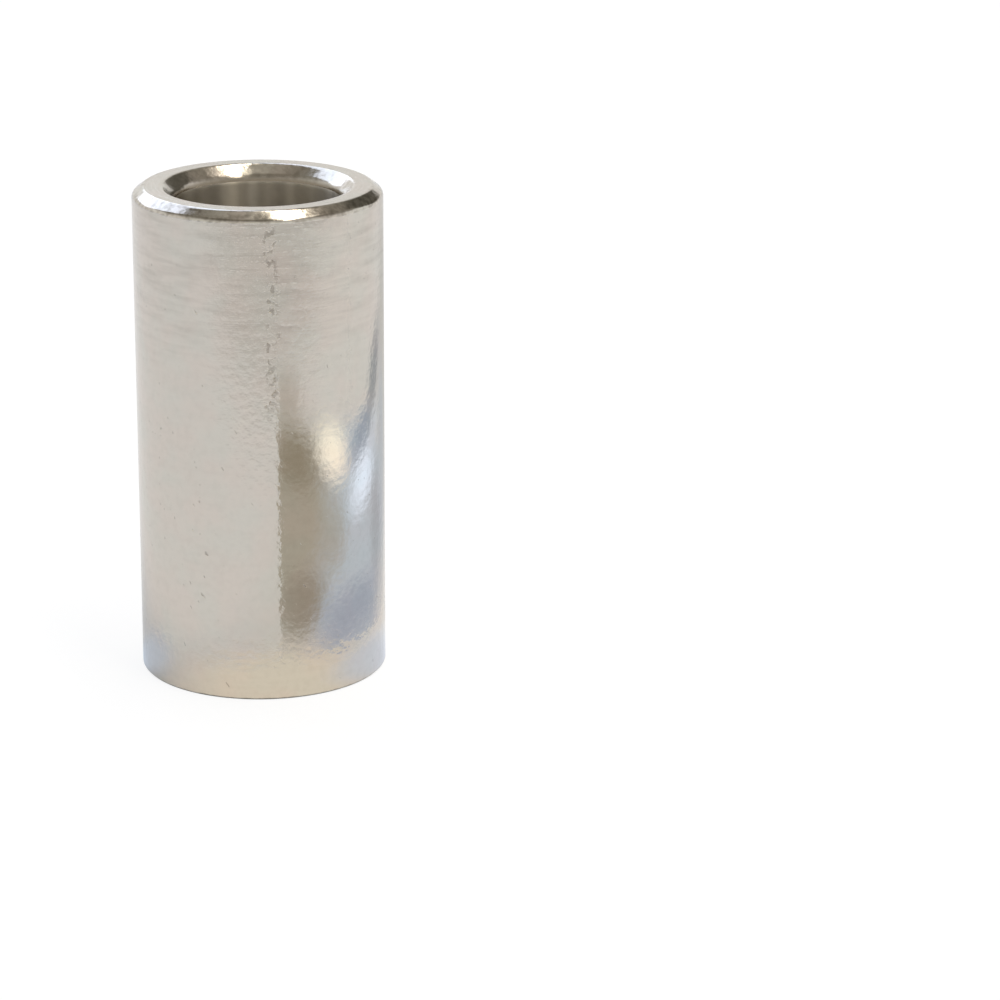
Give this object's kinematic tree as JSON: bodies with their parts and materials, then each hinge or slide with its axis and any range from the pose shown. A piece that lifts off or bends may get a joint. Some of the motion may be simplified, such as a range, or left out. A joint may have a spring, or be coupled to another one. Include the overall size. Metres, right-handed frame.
{
  "type": "spacer sleeve",
  "caption": "Plain turned spacer sleeve with a round through bore, a chamfered and countersunk head end and a lightly broken foot end; slides over a screw to hold parts apart.",
  "frame": {"origin": "centre of the foot end's face, on the sleeve's axis", "axes": "+Z along the sleeve's axis, from the foot end to the chamfered head end; X and Y are alike"},
  "size_m": [0.008, 0.008, 0.016],
  "materials": {
    "nickel_plated_steel": "bright nickel plating over fine turning marks, tumbled edges"
  },
  "bodies": {
    "root": {"spacer_sleeve": "nickel_plated_steel"}
  },
  "joints": []
}
